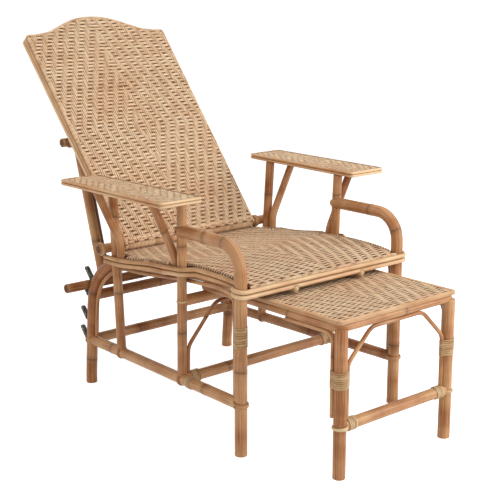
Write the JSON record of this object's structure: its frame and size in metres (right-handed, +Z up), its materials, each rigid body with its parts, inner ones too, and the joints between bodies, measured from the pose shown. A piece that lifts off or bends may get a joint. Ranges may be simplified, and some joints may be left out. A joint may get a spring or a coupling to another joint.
{
  "type": "chaise longue",
  "caption": "Rattan chaise longue: woven reclining back held by a prop in toothed racks, woven seat, flat wide armrests and a woven footrest that slides out from under the seat.",
  "frame": {"origin": "on the floor under the middle of the overall width and length", "axes": "+Z up, -Y the way the sitter faces, -X at the sitter's right hand"},
  "size_m": [0.7458, 1.241, 0.9689],
  "materials": {
    "rattan_pole": "clear satin varnish",
    "cane_weave": "clear satin varnish",
    "rattan_strip": "clear satin varnish",
    "dark_steel": "dark, worn"
  },
  "bodies": {
    "frame": {"arch_brace_left": "rattan_pole", "arch_brace_right": "rattan_pole", "armrest_board_left": "cane_weave", "armrest_board_right": "cane_weave", "armrest_edge_left": "rattan_strip", "armrest_edge_right": "rattan_strip", "back_seat_rail": "rattan_pole", "cross_stretcher": "rattan_pole", "front_arm_brace_left": "rattan_pole", "front_arm_brace_right": "rattan_pole", "front_arm_post_left": "rattan_pole", "front_arm_post_right": "rattan_pole", "front_leg_left": "rattan_pole", "front_leg_right": "rattan_pole", "front_seat_rail": "rattan_pole", "hook_rack_left": "dark_steel", "hook_rack_right": "dark_steel", "knee_brace_left": "rattan_pole", "knee_brace_right": "rattan_pole", "pivot_loop_left": "rattan_strip", "pivot_loop_right": "rattan_strip", "rear_arm_brace_left": "rattan_pole", "rear_arm_brace_right": "rattan_pole", "rear_arm_post_left": "rattan_pole", "rear_arm_post_right": "rattan_pole", "rear_leg_left": "rattan_pole", "rear_leg_right": "rattan_pole", "rear_stretcher": "rattan_pole", "rear_upper_stretcher": "rattan_pole", "seat_band_left": "rattan_strip", "seat_band_lower": "rattan_strip", "seat_band_right": "rattan_strip", "seat_band_upper": "rattan_strip", "seat_bearer_left": "rattan_pole", "seat_bearer_right": "rattan_pole", "seat_panel": "cane_weave", "side_stretcher_left": "rattan_pole", "side_stretcher_right": "rattan_pole", "slide_bar": "rattan_pole"},
    "back": {"back_frame": "rattan_pole", "back_panel": "cane_weave", "back_pivot_rod": "rattan_pole", "back_cross_rail": "rattan_pole"},
    "prop": {"prop_top_rod": "rattan_pole", "prop_bar": "rattan_pole", "prop_leg_left": "rattan_pole", "prop_leg_right": "rattan_pole"},
    "footrest": {"footrest_front_brace_left": "rattan_pole", "footrest_front_brace_right": "rattan_pole", "footrest_front_rail": "rattan_pole", "footrest_leg_left": "rattan_pole", "footrest_leg_right": "rattan_pole", "footrest_panel": "cane_weave", "footrest_rail_left": "rattan_pole", "footrest_rail_right": "rattan_pole", "footrest_rear_rail": "rattan_pole", "footrest_side_brace_left": "rattan_pole", "footrest_side_brace_right": "rattan_pole", "footrest_stretcher": "rattan_pole"}
  },
  "joints": [
    {"name": "back_recline", "type": "hinge", "parent": "frame", "child": "back", "pos_m": [0, 0.15263, 0.404], "axis": [1, 0, 0], "range_deg": [0, 30]},
    {"name": "prop_swing", "type": "hinge", "parent": "back", "child": "prop", "pos_m": [0, 0.40531, 0.64424], "axis": [1, 0, 0], "range_deg": [-2, 0]},
    {"name": "footrest_slide", "type": "slide", "parent": "frame", "child": "footrest", "axis": [0, 1, 0], "range_m": [0, 0.225]}
  ],
  "couplings": [
    {"joint": "prop_swing", "follows": "back_recline", "ratio": -0.05}
  ]
}
